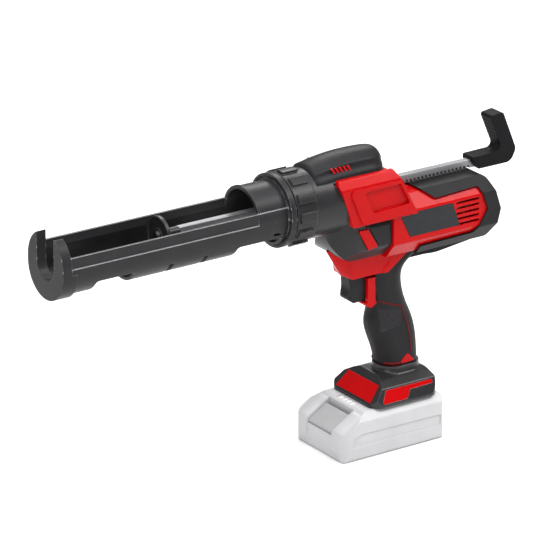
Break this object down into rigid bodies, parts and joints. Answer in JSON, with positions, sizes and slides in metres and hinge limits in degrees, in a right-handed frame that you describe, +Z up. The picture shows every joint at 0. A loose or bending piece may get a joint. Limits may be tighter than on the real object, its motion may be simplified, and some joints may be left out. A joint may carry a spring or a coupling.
{
  "type": "cordless caulking gun",
  "caption": "Battery-powered caulking gun: open half-round cartridge holder, toothed push rod with pull handle, motor housing, trigger grip and slide-on battery pack.",
  "frame": {"origin": "point on the battery pack's resting face, midway between its sides and below the grip's rear half", "axes": "-X towards the nozzle end, +X to the rear, -Y to the user's left side, +Z up"},
  "size_m": [0.5031, 0.077, 0.293],
  "materials": {
    "dark_plastic": "fine-grained charcoal moulding",
    "red_plastic": "satin red moulding",
    "soft_rubber": "matte soft overmould",
    "steel": "bright brushed steel",
    "plunger_plastic": "dark moulded disc",
    "guide_plastic": "natural acetal",
    "gearhead_metal": "die-cast aluminium",
    "slate_plate": "bare slate plate",
    "pack_plastic": "pale grey moulding",
    "lamp_plastic": "milky lens",
    "cell_sleeve": "shrink sleeve",
    "board": "circuit board",
    "switch_plastic": "switch body",
    "contact_brass": "contact brass"
  },
  "bodies": {
    "tool": {"gear_case": "dark_plastic", "top_cover": "dark_plastic", "accent_ribs": "red_plastic", "rod_guide_front": "guide_plastic", "rod_guide_rear": "guide_plastic", "bearing_left": "steel", "bearing_right": "steel", "gearhead": "gearhead_metal", "motor_can": "steel", "housing_left": "red_plastic", "housing_right": "red_plastic", "name_plate": "slate_plate", "rear_bumper": "soft_rubber", "grip_cover_left": "soft_rubber", "grip_cover_right": "soft_rubber", "switch_module": "switch_plastic", "battery_foot": "dark_plastic", "foot_panel": "red_plastic", "foot_inlay_left": "red_plastic", "foot_inlay_right": "red_plastic", "control_board": "board", "terminal_blades": "contact_brass", "housing_screws": "steel"},
    "holder": {"cartridge_holder": "dark_plastic"},
    "ring": {"coupling_ring": "dark_plastic"},
    "rack": {"push_rod": "steel", "plunger_disc": "plunger_plastic", "plunger_hub": "plunger_plastic", "plunger_screw": "steel", "pull_handle": "dark_plastic", "handle_pin": "steel"},
    "drive": {"drive_shaft": "steel", "rack_pinion": "steel", "output_gear": "steel"},
    "driver": {"driver_pinion": "steel"},
    "rotor": {"motor_rotor": "steel"},
    "trigger": {"trigger": "dark_plastic"},
    "lock": {"lock_button": "red_plastic"},
    "battery": {"battery_case_upper": "pack_plastic", "battery_case_lower": "pack_plastic", "charge_lamps": "lamp_plastic", "battery_cells": "cell_sleeve", "battery_board": "board"},
    "latch": {"latch_button": "pack_plastic"}
  },
  "joints": [
    {"name": "rack_slide", "type": "slide", "parent": "tool", "child": "rack", "axis": [1, 0, 0], "range_m": [-0.077, 0.1195]},
    {"name": "drive_spin", "type": "hinge", "parent": "tool", "child": "drive", "pos_m": [-0.03, 0, 0.23478], "axis": [0, 1, 0], "continuous": true},
    {"name": "driver_spin", "type": "hinge", "parent": "tool", "child": "driver", "pos_m": [-0.03, 0, 0.21352], "axis": [0, 1, 0], "continuous": true},
    {"name": "rotor_spin", "type": "hinge", "parent": "tool", "child": "rotor", "pos_m": [0.085, 0, 0.21352], "axis": [1, 0, 0], "continuous": true},
    {"name": "holder_turn", "type": "hinge", "parent": "tool", "child": "holder", "pos_m": [-0.1, 0, 0.247], "axis": [1, 0, 0], "continuous": true},
    {"name": "ring_turn", "type": "hinge", "parent": "tool", "child": "ring", "pos_m": [-0.1, 0, 0.247], "axis": [1, 0, 0], "range_deg": [0, 90]},
    {"name": "trigger_pull", "type": "slide", "parent": "tool", "child": "trigger", "axis": [1, 0, 0], "range_m": [0, 0.006], "stiffness_N_per_m": 500, "springref_m": -0.004},
    {"name": "lock_push", "type": "slide", "parent": "tool", "child": "lock", "axis": [0, 1, 0], "range_m": [0, 0.0025], "stiffness_N_per_m": 800, "springref_m": -0.002},
    {"name": "battery_slide", "type": "slide", "parent": "tool", "child": "battery", "axis": [-1, 0, 0], "range_m": [0, 0.09]},
    {"name": "latch_press", "type": "slide", "parent": "battery", "child": "latch", "axis": [1, 0, 0], "range_m": [0, 0.003], "stiffness_N_per_m": 800, "springref_m": -0.002}
  ],
  "couplings": [
    {"joint": "drive_spin", "follows": "rack_slide", "rad_per_m": 90.909},
    {"joint": "driver_spin", "follows": "rack_slide", "rad_per_m": -166.67}
  ]
}
